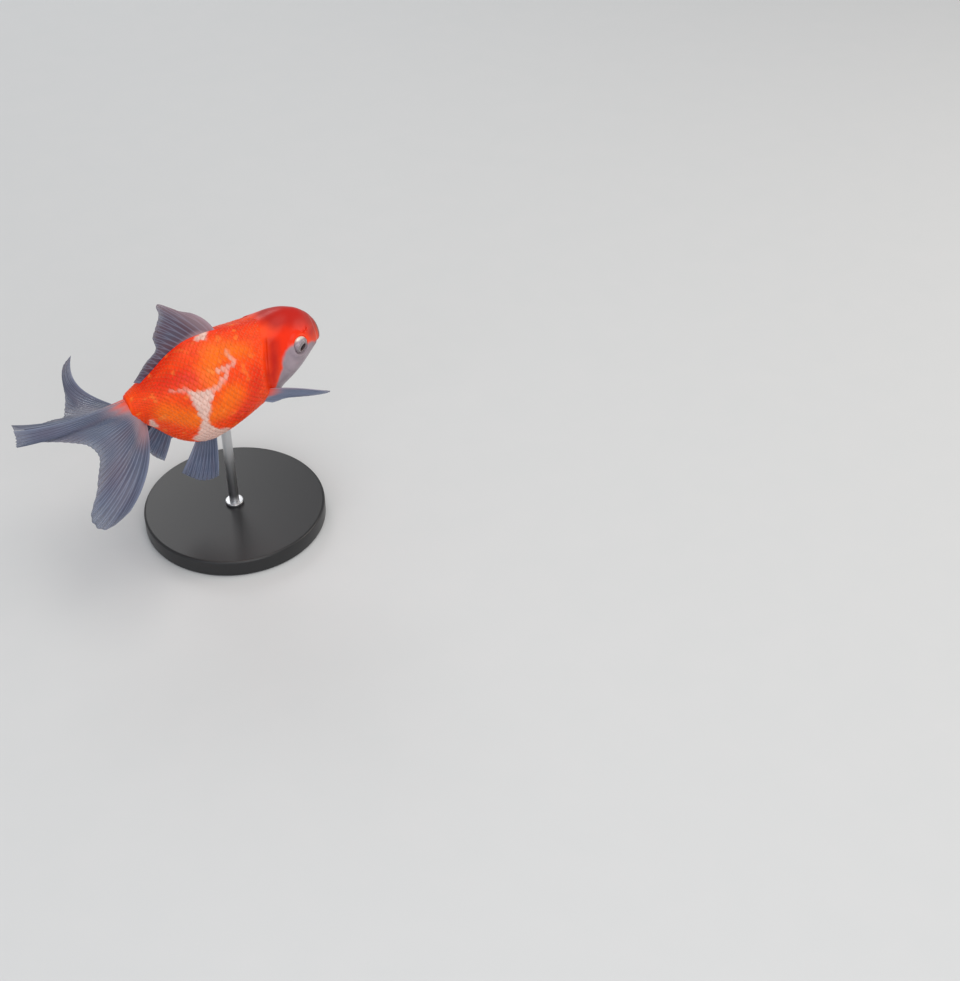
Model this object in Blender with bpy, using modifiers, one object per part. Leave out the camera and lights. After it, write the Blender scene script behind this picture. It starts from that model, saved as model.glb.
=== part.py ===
"""A life-size fancy goldfish, swimming, as a still model on a display stand.

The fish is modelled with its nose to +X, its left side to +Y and its back to
+Z, with its snout at the origin of its own frame, and an empty then pitches it
up and lifts it. Most lengths of the fish are shares of its body length, from
the snout to the root of the tail. A station is such a share, counted back from
the snout.
"""

from math import copysign, cos, pi, radians, sin, tau

import bmesh
import bpy
import numpy as np
from mathutils import Matrix, Vector

# The fish
BODY_LENGTH = 0.065
NOSE_UP = radians(5)
GAP = 0.0003  # between neighbouring pieces
FIN_THICKNESS = 0.0006
ROOT_DEPTH = 0.0016  # how far a fin's root is sunk before the body cuts it off

# Body sections: station, then top, bottom, height of the widest line and half
# width, as shares of the body length, then the keel of the back, which is 1 for
# a round back and higher for a narrower one.
SECTIONS = np.array(
    (
        (0.000, 0.046, -0.028, 0.008, 0.028, 1.0),
        (0.020, 0.096, -0.042, 0.012, 0.058, 1.1),
        (0.060, 0.148, -0.064, 0.012, 0.090, 1.15),
        (0.130, 0.192, -0.108, 0.008, 0.138, 1.15),
        (0.200, 0.202, -0.150, 0.000, 0.168, 1.1),
        (0.280, 0.192, -0.188, -0.010, 0.192, 1.1),
        (0.380, 0.200, -0.234, -0.026, 0.208, 1.25),
        (0.480, 0.220, -0.280, -0.046, 0.214, 1.4),
        (0.580, 0.230, -0.320, -0.064, 0.212, 1.4),
        (0.670, 0.224, -0.342, -0.070, 0.196, 1.4),
        (0.760, 0.188, -0.318, -0.062, 0.168, 1.3),
        (0.840, 0.136, -0.256, -0.040, 0.132, 1.2),
        (0.900, 0.098, -0.180, -0.026, 0.104, 1.1),
        (0.940, 0.078, -0.134, -0.022, 0.084, 1.0),
        (1.000, 0.050, -0.102, -0.020, 0.060, 1.0),
    )
)
RINGS = 28
RING_CROWDING = 1.5  # above 1 the rings crowd towards the blunt snout
POINTS_A_RING = 28

# Partings
GILL_CENTRE = (0.050, -0.020)  # station and height of the gill seam's arc
GILL_RADIUS = 0.302
COVER_CENTRE = (0.262, -0.034)
COVER_RADIUS = 0.082
COVER_INNER = 0.110  # distance of the cover's inner face from the mid plane
JAW_STATION = 0.052
JAW_TOP = -0.006
STALK_STATION = 0.835
DRUM_SIDES = 48

# Eyes
EYE_RADIUS = 0.0030
EYE_STATION = 0.152
EYE_HEIGHT = 0.058
EYE_INSET = 0.0018  # how far the ball's centre lies inside the cheek's widest line
EYE_GRID = (20, 12)

# Fins. Each is a fan of rays. A guide row gives a ray's place across the fan,
# its outward and upward angle from straight back, its length, and how far both
# angles curl from root to tip. Angles are in degrees. A curl is even along the
# ray, or where a fin has "late" it grows with that power of the way along, given
# for the fan's first ray and its last. Folds are the number of waves across the
# fan and their depth at the margin. The grid is the number of faces across the
# fan and along its rays.
FINS = {
    "dorsal_fin": {
        "root": ((0.500, pi / 2), (0.900, pi / 2)),
        "guides": (
            (0.00, 12, 82, 0.160, 4, -50),
            (0.06, 14, 71, 0.195, 6, -36),
            (0.12, 15, 61, 0.262, 8, -20),
            (0.25, 14, 57, 0.205, 8, -16),
            (0.40, 10, 51, 0.156, 4, -12),
            (0.50, 8, 48, 0.125, 4, -10),
            (0.60, 6, 48, 0.072, 4, -8),
            (0.80, 4, 42, 0.062, 2, -6),
            (1.00, 4, 30, 0.045, 2, -4),
        ),
        "folds": (2.0, 3),
        "grid": (16, 6),
    },
    "right_pectoral_fin": {
        "root": ((0.368, -0.31), (0.410, -0.63)),
        "guides": (
            (0.00, 132, 15, 0.300, 10, -24),
            (0.30, 136, 11, 0.300, 10, -18),
            (0.50, 138, 9, 0.240, 8, -12),
            (0.70, 140, 5, 0.162, 6, -8),
            (0.85, 140, 2, 0.098, 4, -4),
            (1.00, 140, -9, 0.045, 2, -2),
        ),
        "folds": (1.5, 4),
        "grid": (10, 6),
    },
    "left_pectoral_fin": {
        "root": ((0.368, -0.31), (0.410, -0.63)),
        "guides": (
            (0.00, 44, -22, 0.27, -8, 6),
            (0.50, 40, -34, 0.26, -6, 6),
            (0.80, 36, -44, 0.20, -4, 4),
            (1.00, 34, -50, 0.08, -2, 4),
        ),
        "folds": (1.5, 4),
        "grid": (10, 6),
    },
    "pelvic_fin": {
        "root": ((0.640, -1.12), (0.735, -1.20)),
        "guides": (
            (0.00, 66, -48, 0.19, -8, 10),
            (0.50, 54, -46, 0.20, -6, 10),
            (1.00, 30, -40, 0.17, -2, 8),
        ),
        "folds": (1.5, 4),
        "grid": (8, 6),
    },
    "anal_fin": {
        "root": ((0.845, -1.30), (0.915, -1.22)),
        "guides": (
            (0.00, 14, -66, 0.14, 0, 14),
            (0.50, 12, -52, 0.13, 0, 10),
            (1.00, 10, -38, 0.08, 0, 6),
        ),
        "folds": (1.0, 3),
        "grid": (6, 4),
    },
}
TAILS = {
    "right": {
        "late": (1, 1),
        "guides": (
            (0.00, 4, -1, 0.565, 2, 24),
            (0.20, 6, -7, 0.57, 0, 24),
            (0.32, 5, -7, 0.47, 0, 20),
            (0.42, 6, -6, 0.36, 0, 13),
            (0.52, 14, -4, 0.29, -4, 4),
            (0.65, 34, -7, 0.30, -8, 2),
            (0.78, 51, -9, 0.44, -23, 4),
            (0.88, 60, -13, 0.61, -38, 6),
            (0.95, 71, -16, 0.63, -44, 8),
            (1.00, 81, -15, 0.54, -43, 8),
        ),
    },
    "left": {
        "late": (1, 4),
        "guides": (
            (0.00, -4, -1, 0.56, -2, 24),
            (0.20, 0, -4, 0.54, 4, 28),
            (0.40, 4, -5, 0.44, 4, 24),
            (0.50, 8, -4, 0.37, 4, 16),
            (0.60, 15, -4, 0.34, 8, 12),
            (0.70, 24, -4, 0.33, 20, 12),
            (0.80, 35, -3, 0.38, 50, 28),
            (0.90, 46, 0, 0.53, 84, 46),
            (1.00, 58, 2, 0.56, 84, 50),
        ),
    },
}
TAIL_ROOT = ((0.990, pi / 2 - 0.02), (0.960, -pi / 2 + 0.1))
TAIL_FOLDS = (2.5, 5)
TAIL_GRID = (9, 10)
TAIL_PARTING = 0.5  # place across the fan where the upper lobe meets the lower
PARTING_SHARE = 0.6  # of the gap, that each lobe stands back from the parting
RAY_STEPS = 12

# Stand
BASE_RADIUS = 0.030
BASE_HEIGHT = 0.006
BASE_BEVEL = 0.0008
ROD_RADIUS = 0.0016
ROD_SINK = 0.004  # how far the rod runs into the body before it is cut off
ROD_STATION = 0.560
BELLY_HEIGHT = 0.034  # of the fish's underside over the base, at the rod
ROD_SIDES = 24
BASE_SIDES = 48


def spline(xs, ys, x):
    """Smooth curve through the points (xs, ys), read at x."""
    slopes = np.gradient(ys, xs)
    i = int(np.clip(np.searchsorted(xs, x) - 1, 0, len(xs) - 2))
    step = xs[i + 1] - xs[i]
    s = (x - xs[i]) / step
    start = ys[i] * (1 + 2 * s) + slopes[i] * step * s
    end = ys[i + 1] * (3 - 2 * s) + slopes[i + 1] * step * (s - 1)
    return start * (1 - s) ** 2 + end * s * s


def section(station):
    """Top, bottom, widest height and half width in metres at a station, and
    the keel there."""
    shares = SECTIONS[:, 0]
    *lengths, keel = (spline(shares, SECTIONS[:, k], station) for k in range(1, 6))
    return *(BODY_LENGTH * length for length in lengths), keel


def skin_point(station, turn, grow=0.0):
    """Point of the body's surface. turn runs from the left side (0) over the
    back (pi / 2) to the right side (pi) and the belly (3 pi / 2)."""
    top, bottom, widest, half, keel = section(station)
    rise = (top - widest if sin(turn) > 0 else widest - bottom) + grow
    ahead = grow * (1 - 2 * station)
    width = abs(cos(turn)) ** (keel if sin(turn) > 0 else 1.0)
    across = (half + grow) * copysign(width, cos(turn))
    return Vector((ahead - station * BODY_LENGTH, across, widest + rise * sin(turn)))


def link(obj, collection, parent=None, colour=None):
    """Puts a new object in its collection, under its parent, with a material."""
    collection.objects.link(obj)
    obj.parent = parent
    if colour:
        obj.data.materials.append(colour)
    return obj


def mesh_object(name, bm):
    """Makes an object of a bmesh, smooth shaded apart from its sharp edges."""
    bmesh.ops.recalc_face_normals(bm, faces=bm.faces)
    mesh = bpy.data.meshes.new(name)
    bm.to_mesh(mesh)
    bm.free()
    mesh.shade_smooth()
    mesh.set_sharp_from_angle(angle=radians(35))
    return bpy.data.objects.new(name, mesh)


def material(name, rgb, roughness, metallic=0.0):
    made = bpy.data.materials.new(name)
    made.use_nodes = True
    shader = made.node_tree.nodes["Principled BSDF"]
    shader.inputs["Base Color"].default_value = (*rgb, 1.0)
    shader.inputs["Roughness"].default_value = roughness
    shader.inputs["Metallic"].default_value = metallic
    return made


def body_mesh(grow=0.0):
    """The whole body as one closed loft, grown outwards by grow."""
    bm = bmesh.new()
    rings = []
    for i in range(RINGS):
        share = (i / (RINGS - 1)) ** RING_CROWDING
        turns = [tau * k / POINTS_A_RING for k in range(POINTS_A_RING)]
        rings.append([bm.verts.new(skin_point(share, turn, grow)) for turn in turns])
    for fore, aft in zip(rings, rings[1:]):
        for k in range(POINTS_A_RING):
            after = (k + 1) % POINTS_A_RING
            bm.faces.new((fore[k], fore[after], aft[after], aft[k]))
    bm.faces.new(rings[0])
    bm.faces.new(rings[-1])
    return bm


def cylinder_mesh(radius, depth, sides):
    bm = bmesh.new()
    bmesh.ops.create_cone(
        bm, cap_ends=True, segments=sides, radius1=radius, radius2=radius, depth=depth
    )
    return bm


def drum_mesh(centre, radius, inner, outer):
    """A closed drum whose axis runs along Y, from y = inner to y = outer."""
    bm = cylinder_mesh(radius, abs(outer - inner), DRUM_SIDES)
    bmesh.ops.rotate(bm, verts=bm.verts, cent=(0, 0, 0), matrix=Matrix.Rotation(pi / 2, 3, "X"))
    station, height = centre
    middle = Vector((-station * BODY_LENGTH, (inner + outer) / 2, height * BODY_LENGTH))
    bmesh.ops.translate(bm, verts=bm.verts, vec=middle)
    return bm


def box_mesh(low, high):
    """A closed box between two opposite corners."""
    bm = bmesh.new()
    bmesh.ops.create_cube(bm, size=1.0)
    low, high = Vector(low), Vector(high)
    bmesh.ops.scale(bm, verts=bm.verts, vec=high - low)
    bmesh.ops.translate(bm, verts=bm.verts, vec=(low + high) / 2)
    return bm


def ball_mesh(radius):
    around, up = EYE_GRID
    bm = bmesh.new()
    bmesh.ops.create_uvsphere(bm, u_segments=around, v_segments=up, radius=radius)
    return bm


def cut(obj, cutter, operation="DIFFERENCE"):
    modifier = obj.modifiers.new(cutter.name, "BOOLEAN")
    modifier.operation = operation
    modifier.object = cutter


def guide_at(guides, place):
    """Angles in radians and length in metres of the ray at a place of the fan."""
    rows = np.array(guides)
    out, up, length, out_curl, up_curl = (
        spline(rows[:, 0], rows[:, k], place) for k in range(1, 6)
    )
    return radians(out), radians(up), length * BODY_LENGTH, radians(out_curl), radians(up_curl)


def ray_point(fin, side, place, along):
    """Point at a share along the ray at a place across a fin. side is 1 for
    the fish's left, -1 for its right."""
    out, up, length, out_curl, up_curl = guide_at(fin["guides"], place)
    (fore, fore_turn), (aft, aft_turn) = fin["root"]
    station = fore + (aft - fore) * place
    turn = fore_turn + (aft_turn - fore_turn) * place
    point = skin_point(station, turn, -ROOT_DEPTH)
    point.y = side * (point.y + fin.get("spread", 0.0))
    folds, depth = fin["folds"]
    first, last = fin.get("late", (1, 1))
    power = first + (last - first) * place
    reach = (length + ROOT_DEPTH) * along
    for step in range(RAY_STEPS):
        share = along * (step + 0.5) / RAY_STEPS
        sway = radians(depth) * sin(tau * folds * place) * share
        yaw = out + out_curl * share**power + sway
        pitch = up + up_curl * share**power
        way = Vector((-cos(pitch) * cos(yaw), side * cos(pitch) * sin(yaw), sin(pitch)))
        point += way * reach / RAY_STEPS
    return point


def fin_object(name, fin, side, start=0.0, end=1.0):
    """A fin, or the stretch of one from start to end across its fan."""
    across, down = fin["grid"]
    bm = bmesh.new()
    bmesh.ops.create_grid(bm, x_segments=across, y_segments=down, size=1.0)
    for vert in bm.verts:
        place = start + (end - start) * (vert.co.x + 1) / 2
        along = (vert.co.y + 1) / 2
        # A parted edge stands back, so that two lobes keep a little over the gap.
        width = (ray_point(fin, side, 0, along) - ray_point(fin, side, 1, along)).length
        inset = PARTING_SHARE * GAP / width
        if start > 0:
            place += inset * (end - place) / (end - start)
        if end < 1:
            place -= inset * (place - start) / (end - start)
        vert.co = ray_point(fin, side, place, along)
    obj = mesh_object(name, bm)
    thicken = obj.modifiers.new("thickness", "SOLIDIFY")
    thicken.thickness = FIN_THICKNESS
    thicken.offset = 0
    return obj


def clear_scene():
    for obj in list(bpy.data.objects):
        bpy.data.objects.remove(obj)


def new_collection(name):
    made = bpy.data.collections.new(name)
    bpy.context.scene.collection.children.link(made)
    return made


def new_cutter(name, bm, collection, parent):
    obj = link(mesh_object(name, bm), collection, parent)
    obj.hide_render = True
    obj.display_type = "WIRE"
    return obj


def fish_pose(parts):
    """The empty that holds the fish over the middle of its stand."""
    pose = bpy.data.objects.new("fish_pose", None)
    parts.objects.link(pose)
    pose.rotation_euler = (0, -NOSE_UP, 0)
    belly = Matrix.Rotation(-NOSE_UP, 3, "Y") @ skin_point(ROD_STATION, -pi / 2)
    pose.location = (-belly.x, 0, BASE_HEIGHT + BELLY_HEIGHT - belly.z)
    return pose


def add_body(parts, cutters, pose, skin, pale, iris):
    """Head, jaw, gill covers, eyes, trunk and tail stalk, parted from one loft."""
    length = BODY_LENGTH

    def cutter(name, bm):
        return new_cutter(name, bm, cutters, pose)

    def drum(name, centre, radius, inner, outer, grow=0.0):
        return cutter(name, drum_mesh(centre, radius * length + grow, inner, outer))

    def piece(name, colour):
        return link(mesh_object(name, body_mesh()), parts, pose, colour)

    front = drum("head_region", GILL_CENTRE, GILL_RADIUS, -length, length)
    front_clear = drum("head_clearance", GILL_CENTRE, GILL_RADIUS, -length, length, GAP)
    stalk_x = -STALK_STATION * length
    stalk_box = box_mesh((-2 * length, -length, -length), (stalk_x - GAP, length, length))
    stalk_clear = box_mesh((-2 * length, -length, -length), (stalk_x, length, length))
    jaw_x = -JAW_STATION * length
    jaw_z = JAW_TOP * length
    jaw_box = box_mesh((jaw_x, -length, -length), (length, length, jaw_z))
    jaw_clear = box_mesh((jaw_x - GAP, -length, -length), (length, length, jaw_z + GAP))

    head = piece("head", skin)
    cut(head, front, "INTERSECT")
    cut(head, cutter("jaw_clearance", jaw_clear))
    jaw = piece("lower_jaw", pale)
    cut(jaw, cutter("jaw_region", jaw_box), "INTERSECT")
    trunk = piece("trunk", skin)
    cut(trunk, front_clear)
    cut(trunk, cutter("stalk_clearance", stalk_clear))
    stalk = piece("tail_stalk", skin)
    cut(stalk, cutter("stalk_region", stalk_box), "INTERSECT")

    inner = COVER_INNER * length
    for word, side in (("left", 1), ("right", -1)):
        span = sorted((side * inner, side * length))
        cover = piece(f"{word}_gill_cover", pale)
        region = drum(f"{word}_cover_region", COVER_CENTRE, COVER_RADIUS, *span)
        cut(cover, region, "INTERSECT")
        cut(cover, front, "INTERSECT")
        span = sorted((side * (inner - GAP), side * length))
        cut(head, drum(f"{word}_cover_clearance", COVER_CENTRE, COVER_RADIUS, *span, GAP))

        half = section(EYE_STATION)[3]
        centre = (-EYE_STATION * length, side * (half - EYE_INSET), EYE_HEIGHT * length)
        eye = link(mesh_object(f"{word}_eye", ball_mesh(EYE_RADIUS)), parts, pose, iris)
        eye.location = centre
        socket = cutter(f"{word}_eye_socket", ball_mesh(EYE_RADIUS + GAP))
        socket.location = centre
        cut(head, socket)


def add_fins(parts, cutters, pose, web):
    """All the fins, each cut off where it meets the body."""
    clearance = new_cutter("body_clearance", body_mesh(GAP), cutters, pose)

    def fin(name, shape, side, *span):
        cut(link(fin_object(name, shape, side, *span), parts, pose, web), clearance)

    fin("dorsal_fin", FINS["dorsal_fin"], 1)
    for word, side in (("left", 1), ("right", -1)):
        fin(f"{word}_pectoral_fin", FINS[f"{word}_pectoral_fin"], side)
        fin(f"{word}_pelvic_fin", FINS["pelvic_fin"], side)
        fin(f"{word}_anal_fin", FINS["anal_fin"], side)
        tail = {
            **TAILS[word],
            "root": TAIL_ROOT,
            "folds": TAIL_FOLDS,
            "grid": TAIL_GRID,
            "spread": (FIN_THICKNESS + GAP) / 2,
        }
        fin(f"{word}_upper_tail_lobe", tail, side, 0.0, TAIL_PARTING)
        fin(f"{word}_lower_tail_lobe", tail, side, TAIL_PARTING, 1.0)
    return clearance


def add_stand(parts, clearance, steel, paint):
    """A round base and the rod that holds the fish by its underside."""
    foot = BASE_HEIGHT + GAP
    top = BASE_HEIGHT + BELLY_HEIGHT + ROD_SINK
    rod = mesh_object("stand_rod", cylinder_mesh(ROD_RADIUS, top - foot, ROD_SIDES))
    link(rod, parts, None, steel)
    rod.location = (0, 0, (top + foot) / 2)
    cut(rod, clearance)

    base = mesh_object("stand_base", cylinder_mesh(BASE_RADIUS, BASE_HEIGHT, BASE_SIDES))
    link(base, parts, None, paint)
    base.location = (0, 0, BASE_HEIGHT / 2)
    rounding = base.modifiers.new("rounding", "BEVEL")
    rounding.width = BASE_BEVEL
    rounding.segments = 2
    rounding.limit_method = "ANGLE"


def main():
    clear_scene()
    parts = new_collection("goldfish")
    cutters = new_collection("cutters")
    skin = material("orange_skin", (0.90, 0.16, 0.01), 0.35)
    pale = material("pale_skin", (0.80, 0.74, 0.72), 0.35)
    iris = material("silver_iris", (0.55, 0.56, 0.52), 0.25, 0.6)
    web = material("fin_web", (0.42, 0.44, 0.55), 0.4)
    steel = material("brushed_steel", (0.60, 0.60, 0.62), 0.3, 1.0)
    paint = material("base_paint", (0.03, 0.03, 0.035), 0.45)

    pose = fish_pose(parts)
    add_body(parts, cutters, pose, skin, pale, iris)
    clearance = add_fins(parts, cutters, pose, web)
    add_stand(parts, clearance, steel, paint)


main()
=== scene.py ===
from math import cos, pi, radians, sin, tau

import bmesh
import bpy
import numpy as np
from mathutils import Matrix, Vector, noise


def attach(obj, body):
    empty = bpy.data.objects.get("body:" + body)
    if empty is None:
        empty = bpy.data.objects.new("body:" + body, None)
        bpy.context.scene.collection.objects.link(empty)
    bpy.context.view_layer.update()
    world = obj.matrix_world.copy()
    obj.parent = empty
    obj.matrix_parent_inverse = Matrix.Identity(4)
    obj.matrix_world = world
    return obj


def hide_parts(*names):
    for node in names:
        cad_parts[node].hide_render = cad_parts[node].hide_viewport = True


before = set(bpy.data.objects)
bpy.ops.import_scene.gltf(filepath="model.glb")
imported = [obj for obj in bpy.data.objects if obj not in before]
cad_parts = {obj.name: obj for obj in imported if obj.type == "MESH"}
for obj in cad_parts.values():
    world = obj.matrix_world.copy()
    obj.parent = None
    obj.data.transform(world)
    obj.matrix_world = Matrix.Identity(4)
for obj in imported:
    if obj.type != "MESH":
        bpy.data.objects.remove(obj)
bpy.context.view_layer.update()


# The fish's own frame: nose to +X, left side to +Y, back to +Z, snout at its origin.
# A station is a share of the body's length counted back from the snout. A side is 1 for left, -1 for right.
fish = {
    "bodyLength": 0.065,
    "noseUp": radians(5),
    "rodStation": 0.560,       # where the rod meets the belly
    "bellyHeight": 0.040,      # of the belly over the floor at the rod
}
lengthUnit = fish["bodyLength"]
# station, then top, bottom, height of the widest line and half width, as shares of the length,
# and how sharp the back is: above 1 the sides slope in towards a ridge
bodySections = np.array((
    (0.00, 0.046, -0.028, 0.008, 0.028, 1.00),
    (0.02, 0.096, -0.042, 0.012, 0.058, 1.10),
    (0.06, 0.148, -0.064, 0.012, 0.090, 1.15),
    (0.13, 0.192, -0.108, 0.008, 0.138, 1.15),
    (0.20, 0.202, -0.150, 0.000, 0.168, 1.10),
    (0.28, 0.192, -0.188, -0.010, 0.192, 1.10),
    (0.38, 0.200, -0.234, -0.026, 0.208, 1.25),
    (0.48, 0.220, -0.280, -0.046, 0.214, 1.40),
    (0.58, 0.230, -0.320, -0.064, 0.212, 1.40),
    (0.67, 0.224, -0.342, -0.070, 0.196, 1.40),
    (0.76, 0.188, -0.318, -0.062, 0.168, 1.30),
    (0.84, 0.136, -0.256, -0.040, 0.132, 1.20),
    (0.90, 0.098, -0.180, -0.026, 0.104, 1.10),
    (0.94, 0.078, -0.134, -0.022, 0.084, 1.00),
    (1.00, 0.050, -0.102, -0.020, 0.060, 1.00),
))


# Reads a smooth curve through the rows at x.
def smoothRead(xs, ys, x):
    slopes = np.gradient(ys, xs)
    i = np.clip(np.searchsorted(xs, x) - 1, 0, len(xs) - 2)
    step = xs[i + 1] - xs[i]
    s = (x - xs[i]) / step
    start = ys[i] * (1 + 2 * s) + slopes[i] * step * s
    end = ys[i + 1] * (3 - 2 * s) + slopes[i + 1] * step * (s - 1)
    return start * (1 - s) ** 2 + end * s * s


# 0 at low, 1 at high, with a soft start and stop.
def fade(low, high, x):
    t = np.clip((x - low) / (high - low), 0, 1)
    return t * t * (3 - 2 * t)


# Points of the bare body as shares of its length. turn is in radians, from the back (0)
# over the right side (pi / 2) to the belly (pi), and negative over the left side.
def bodyPoint(station, turn, grow=0.0):
    station, turn = np.broadcast_arrays(np.asarray(station, float), np.asarray(turn, float))
    readings = (smoothRead(bodySections[:, 0], bodySections[:, k], station) for k in range(1, 6))
    top, bottom, widest, half, keel = readings
    upper = np.cos(turn) > 0
    rise = np.where(upper, top - widest, widest - bottom) + grow
    across = np.sign(np.sin(turn)) * np.abs(np.sin(turn)) ** np.where(upper, keel, 1)
    x = grow * (1 - 2 * station) - station
    return np.stack((x, -(half + grow) * across, widest + rise * np.cos(turn)), -1)


def bodyNormal(station, turn):
    step = 0.004
    along = bodyPoint(station + step, turn) - bodyPoint(station - step, turn)
    around = bodyPoint(station, turn + step * 3) - bodyPoint(station, turn - step * 3)
    normal = np.cross(along, around)
    return normal / np.linalg.norm(normal, axis=-1, keepdims=True)


# From the fish's frame, in body lengths, to metres over the floor.
turnNose = Matrix.Rotation(-fish["noseUp"], 4, "Y")
bellyPoint = turnNose @ Vector(bodyPoint(fish["rodStation"], pi) * lengthUnit)
liftFish = Matrix.Translation((-bellyPoint.x, 0, fish["bellyHeight"] - bellyPoint.z))
toWorld = liftFish @ turnNose @ Matrix.Scale(lengthUnit, 4)
snoutPlace = toWorld.translation


def inWorld(points):
    return points @ np.array(toWorld)[:3, :3].T + np.array(toWorld)[:3, 3]


# Camera, light and floor
cameraSettings = {
    "azimuth": radians(-30), "elevation": radians(40),
    "lens": 60, "sensor": 36,                  # mm
    "distance": 0.522,                         # metres to the snout along the view
    "snoutLeft": 0.0520, "snoutUp": 0.0512,    # the snout's place from the view's middle, in metres
    "clip": (0.01, 20),
}
lampSettings = (
    # name, place, size, watts, colour: soft boxes overhead and in front, two fills and a rim
    ("topSoftbox", (0.05, -0.10, 0.75), 0.60, 1.8, "fffaf2"),
    ("frontSoftbox", (-0.10, -0.75, 0.40), 0.60, 2.1, "ffffff"),
    ("leftFill", (-0.65, -0.45, 0.35), 0.50, 0.8, "eef4ff"),
    ("rightFill", (0.70, -0.25, 0.30), 0.45, 1.4, "fff4e8"),
    ("backRim", (0.10, 0.75, 0.55), 0.40, 1.3, "ffffff"),
)
lampAim = (0, 0, 0.05)
backdropSettings = {
    "size": 3.0, "floorHex": ("cfd1d2", "d2d3d4"),
    "worldHex": "eceef1", "worldStrength": 0.55,
}


def linear(code):
    channels = [int(code[i:i + 2], 16) / 255 for i in (0, 2, 4)]
    return tuple(c / 12.92 if c <= 0.04045 else ((c + 0.055) / 1.055) ** 2.4 for c in channels) + (1.0,)


def addNode(tree, kind, inputs=None, settings=None):
    node = tree.nodes.new(kind)
    for name, value in (settings or {}).items():
        setattr(node, name, value)
    for key, value in (inputs or {}).items():
        if isinstance(value, bpy.types.NodeSocket):
            tree.links.new(value, node.inputs[key])
        else:
            node.inputs[key].default_value = value
    return node


def newMaterial(name):
    material = bpy.data.materials.new(name)
    material.use_nodes = True
    return material, material.node_tree, material.node_tree.nodes["Principled BSDF"]


# Numbers and colours that are the same all over a surface go straight onto the shader's sockets.
def setShader(shader, values):
    for name, value in values.items():
        shader.inputs[name].default_value = value


def link(obj):
    bpy.context.scene.collection.objects.link(obj)
    return obj


def finishMesh(name, bm, material, smooth=True):
    mesh = bpy.data.meshes.new(name)
    bm.to_mesh(mesh)
    bm.free()
    if smooth:
        mesh.shade_smooth()
    mesh.materials.append(material)
    return link(bpy.data.objects.new(name, mesh))


# Lays one colour (red, green, blue, alpha) or one number on each of a mesh's points.
def addPointLayer(mesh, name, values):
    values = np.asarray(values, np.float32)
    kind, field = ("FLOAT_COLOR", "color") if values.ndim == 2 else ("FLOAT", "value")
    mesh.attributes.new(name, kind, "POINT").data.foreach_set(field, values.ravel())


def aimAt(obj, target):
    obj.rotation_euler = (Vector(target) - obj.location).to_track_quat("-Z", "Y").to_euler()


def makeCamera():
    s = cameraSettings
    turn, tilt = s["azimuth"], s["elevation"]
    back = Vector((sin(turn) * cos(tilt), -cos(turn) * cos(tilt), sin(tilt)))
    right = Vector((0, 0, 1)).cross(back).normalized()
    up = back.cross(right)
    camera = link(bpy.data.objects.new("camera", bpy.data.cameras.new("camera")))
    camera.data.lens = s["lens"]
    camera.data.sensor_width = s["sensor"]
    camera.location = snoutPlace + right * s["snoutLeft"] - up * s["snoutUp"] + back * s["distance"]
    camera.rotation_euler = (-back).to_track_quat("-Z", "Y").to_euler()
    camera.data.clip_start, camera.data.clip_end = s["clip"]
    bpy.context.scene.camera = camera


# A soft-lit studio: matte painted floor, even grey surroundings.
def makeStage():
    s = backdropSettings
    for name, place, size, watts, code in lampSettings:
        lamp = bpy.data.lights.new(name, "AREA")
        lamp.shape, lamp.size, lamp.energy, lamp.color = "DISK", size, watts, linear(code)[:3]
        obj = link(bpy.data.objects.new(name, lamp))
        obj.location = place
        aimAt(obj, lampAim)
    material, tree, shader = newMaterial("matte backdrop paint")
    grain = addNode(tree, "ShaderNodeTexNoise", {"Scale": 400, "Detail": 2})
    darker, paler = (linear(code) for code in s["floorHex"])
    mixed = {0: grain.outputs["Fac"], "A": darker, "B": paler}
    tint = addNode(tree, "ShaderNodeMix", mixed, {"data_type": "RGBA"})
    tree.links.new(tint.outputs["Result"], shader.inputs["Base Color"])
    setShader(shader, {"Roughness": 0.9})
    bm = bmesh.new()
    bmesh.ops.create_grid(bm, x_segments=1, y_segments=1, size=s["size"])
    finishMesh("floor", bm, material)
    world = bpy.data.worlds.new("studio")
    world.use_nodes = True
    bpy.context.scene.world = world
    background = world.node_tree.nodes["Background"]
    background.inputs["Color"].default_value = linear(s["worldHex"])
    background.inputs["Strength"].default_value = s["worldStrength"]


bpy.context.scene.view_settings.view_transform = "Standard"
makeCamera()
makeStage()
print("camera, lamps and floor made")


# Markings: strokes laid on the body, in shares of its length
# Each stroke is a line of (station, degrees from the back towards the right, radius).
whiteStrokes = {
    "dorsalPatch": ((0.552, -10, 0.018), (0.568, 8, 0.020), (0.598, 8, 0.012)),
    "wedgeTop": ((0.722, 65, 0.015), (0.685, 68, 0.019), (0.640, 70, 0.017)),
    "wedgeMiddle": ((0.712, 71, 0.022), (0.655, 74, 0.024)),
    "wedgeLower": ((0.690, 78, 0.040), (0.690, 86, 0.032), (0.693, 94, 0.018)),
    "neck": ((0.695, 96, 0.015), (0.698, 105, 0.020)),
    "bellySide": ((0.700, 108, 0.024), (0.695, 118, 0.046), (0.650, 126, 0.040), (0.600, 134, 0.026)),
    "bellyUnder": ((0.700, 132, 0.060), (0.640, 146, 0.066), (0.560, 162, 0.056)),
    "vent": ((0.920, 113, 0.012), (0.914, 136, 0.026)),
    # the left flank and belly carry their own marks
    "flankLeft": ((0.560, -58, 0.020), (0.610, -70, 0.032), (0.600, -84, 0.028)),
    "bellyLeft": ((0.640, -122, 0.050), (0.600, -142, 0.060), (0.540, -162, 0.050)),
    "spotLeft": ((0.800, -64, 0.016), (0.770, -72, 0.022)),
}
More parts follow.
